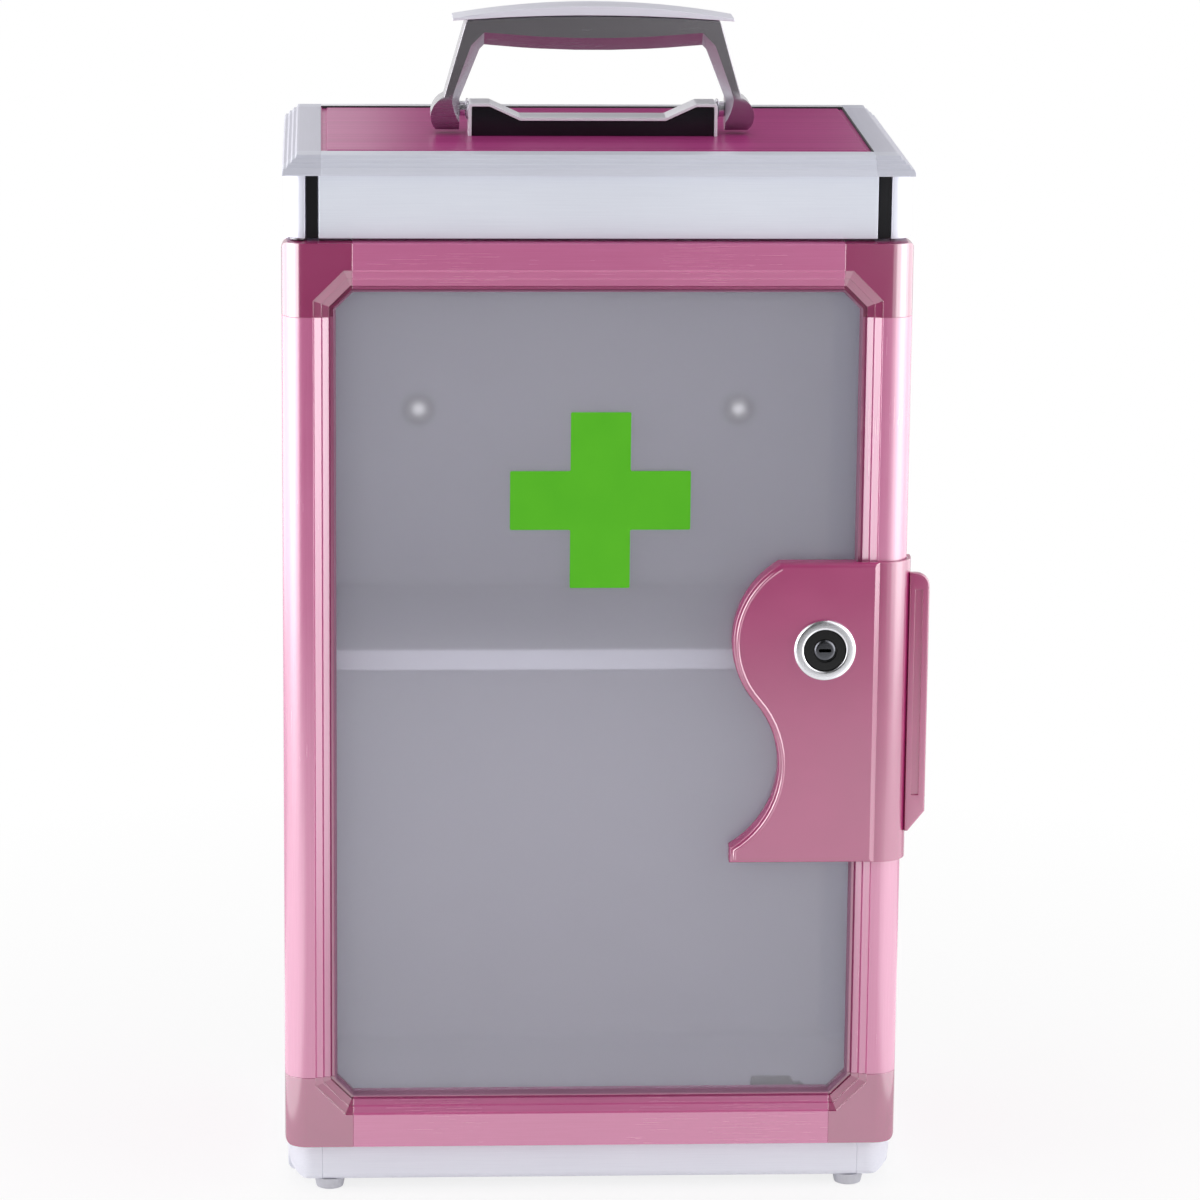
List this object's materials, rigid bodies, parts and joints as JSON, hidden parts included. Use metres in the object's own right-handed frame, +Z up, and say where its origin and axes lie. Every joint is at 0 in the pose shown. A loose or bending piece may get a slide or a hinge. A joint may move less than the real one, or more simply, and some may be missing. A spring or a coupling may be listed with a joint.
{
  "type": "medication lock box",
  "caption": "Lockable carry cabinet for medicines: framed frosted door on pin hinges, cam lock under a shaped plate, one shelf, and a folding handle on the lid.",
  "frame": {"origin": "under the middle of the box round the whole object, on the surface that its feet stand on", "axes": "+Z up, +X to the right as seen from the front, +Y from the door to the back"},
  "size_m": [0.228, 0.144, 0.4224],
  "materials": {
    "pink_frame": "satin anodised pink extrusion",
    "pink_moulding": "pink metallic moulding, satin",
    "pink_panel": "brushed pink laminate, glossy",
    "silver_trim": "satin anodised silver",
    "silver_panel": "matt silver sheet",
    "black_plastic": "semi-matt black moulding",
    "grey_liner": "light grey sheet, satin",
    "frosted_pane": "frosted, translucent",
    "chrome": "bright plated",
    "steel": "zinc plated",
    "rubber": "matt dark rubber"
  },
  "bodies": {
    "cabinet": {"post_front_left": "silver_trim", "post_front_right": "silver_trim", "post_rear_left": "silver_trim", "post_rear_right": "silver_trim", "side_panel_left": "pink_panel", "side_panel_right": "pink_panel", "rear_panel": "grey_liner", "header_corner_left": "silver_trim", "header_corner_right": "silver_trim", "header_trim_left": "black_plastic", "header_trim_right": "black_plastic", "header_panel": "silver_panel", "lid_rim_front": "silver_trim", "lid_rim_rear": "silver_trim", "lid_rim_left": "silver_trim", "lid_rim_right": "silver_trim", "lid_cap_front_left": "silver_trim", "lid_cap_front_right": "silver_trim", "lid_cap_rear_left": "silver_trim", "lid_cap_rear_right": "silver_trim", "top_panel": "pink_panel", "base_rim_front": "silver_trim", "base_rim_rear": "silver_trim", "base_rim_left": "silver_trim", "base_rim_right": "silver_trim", "base_corner_front_left": "silver_trim", "base_corner_front_right": "silver_trim", "base_corner_rear_left": "silver_trim", "base_corner_rear_right": "silver_trim", "floor_panel": "grey_liner", "foot_front_left": "rubber", "foot_front_right": "rubber", "foot_rear_left": "rubber", "foot_rear_right": "rubber", "shelf_board": "grey_liner", "shelf_edge": "silver_trim", "shelf_rail_left": "silver_trim", "shelf_rail_right": "silver_trim", "magnet_catch": "black_plastic", "hinge_pin_top": "steel", "hinge_pin_bottom": "steel", "handle_bracket": "black_plastic", "bracket_strap": "chrome"},
    "door": {"door_stile_left": "pink_frame", "door_stile_right": "pink_frame", "door_rail_top": "pink_frame", "door_rail_bottom": "pink_frame", "door_corner_top_left": "pink_moulding", "door_corner_top_right": "pink_moulding", "door_corner_bottom_left": "pink_moulding", "door_corner_bottom_right": "pink_moulding", "door_pane": "frosted_pane", "lock_plate": "pink_moulding", "lock_barrel": "chrome", "lock_nut": "steel", "catch_plate": "steel"},
    "lock_core": {"lock_plug": "black_plastic", "lock_cam": "steel"},
    "handle": {"handle_frame": "chrome", "handle_cap": "silver_trim"}
  },
  "joints": [
    {"name": "door_swing", "type": "hinge", "parent": "cabinet", "child": "door", "pos_m": [-0.108, -0.05895, 0.182], "axis": [0, 0, -1], "range_deg": [0, 120]},
    {"name": "key_turn", "type": "hinge", "parent": "door", "child": "lock_core", "pos_m": [0.0766, -0.06, 0.2023], "axis": [0, -1, 0], "range_deg": [0, 90]},
    {"name": "handle_fold", "type": "hinge", "parent": "cabinet", "child": "handle", "pos_m": [-0.004, -0.00745, 0.385], "axis": [1, 0, 0], "range_deg": [-90, 90]}
  ]
}
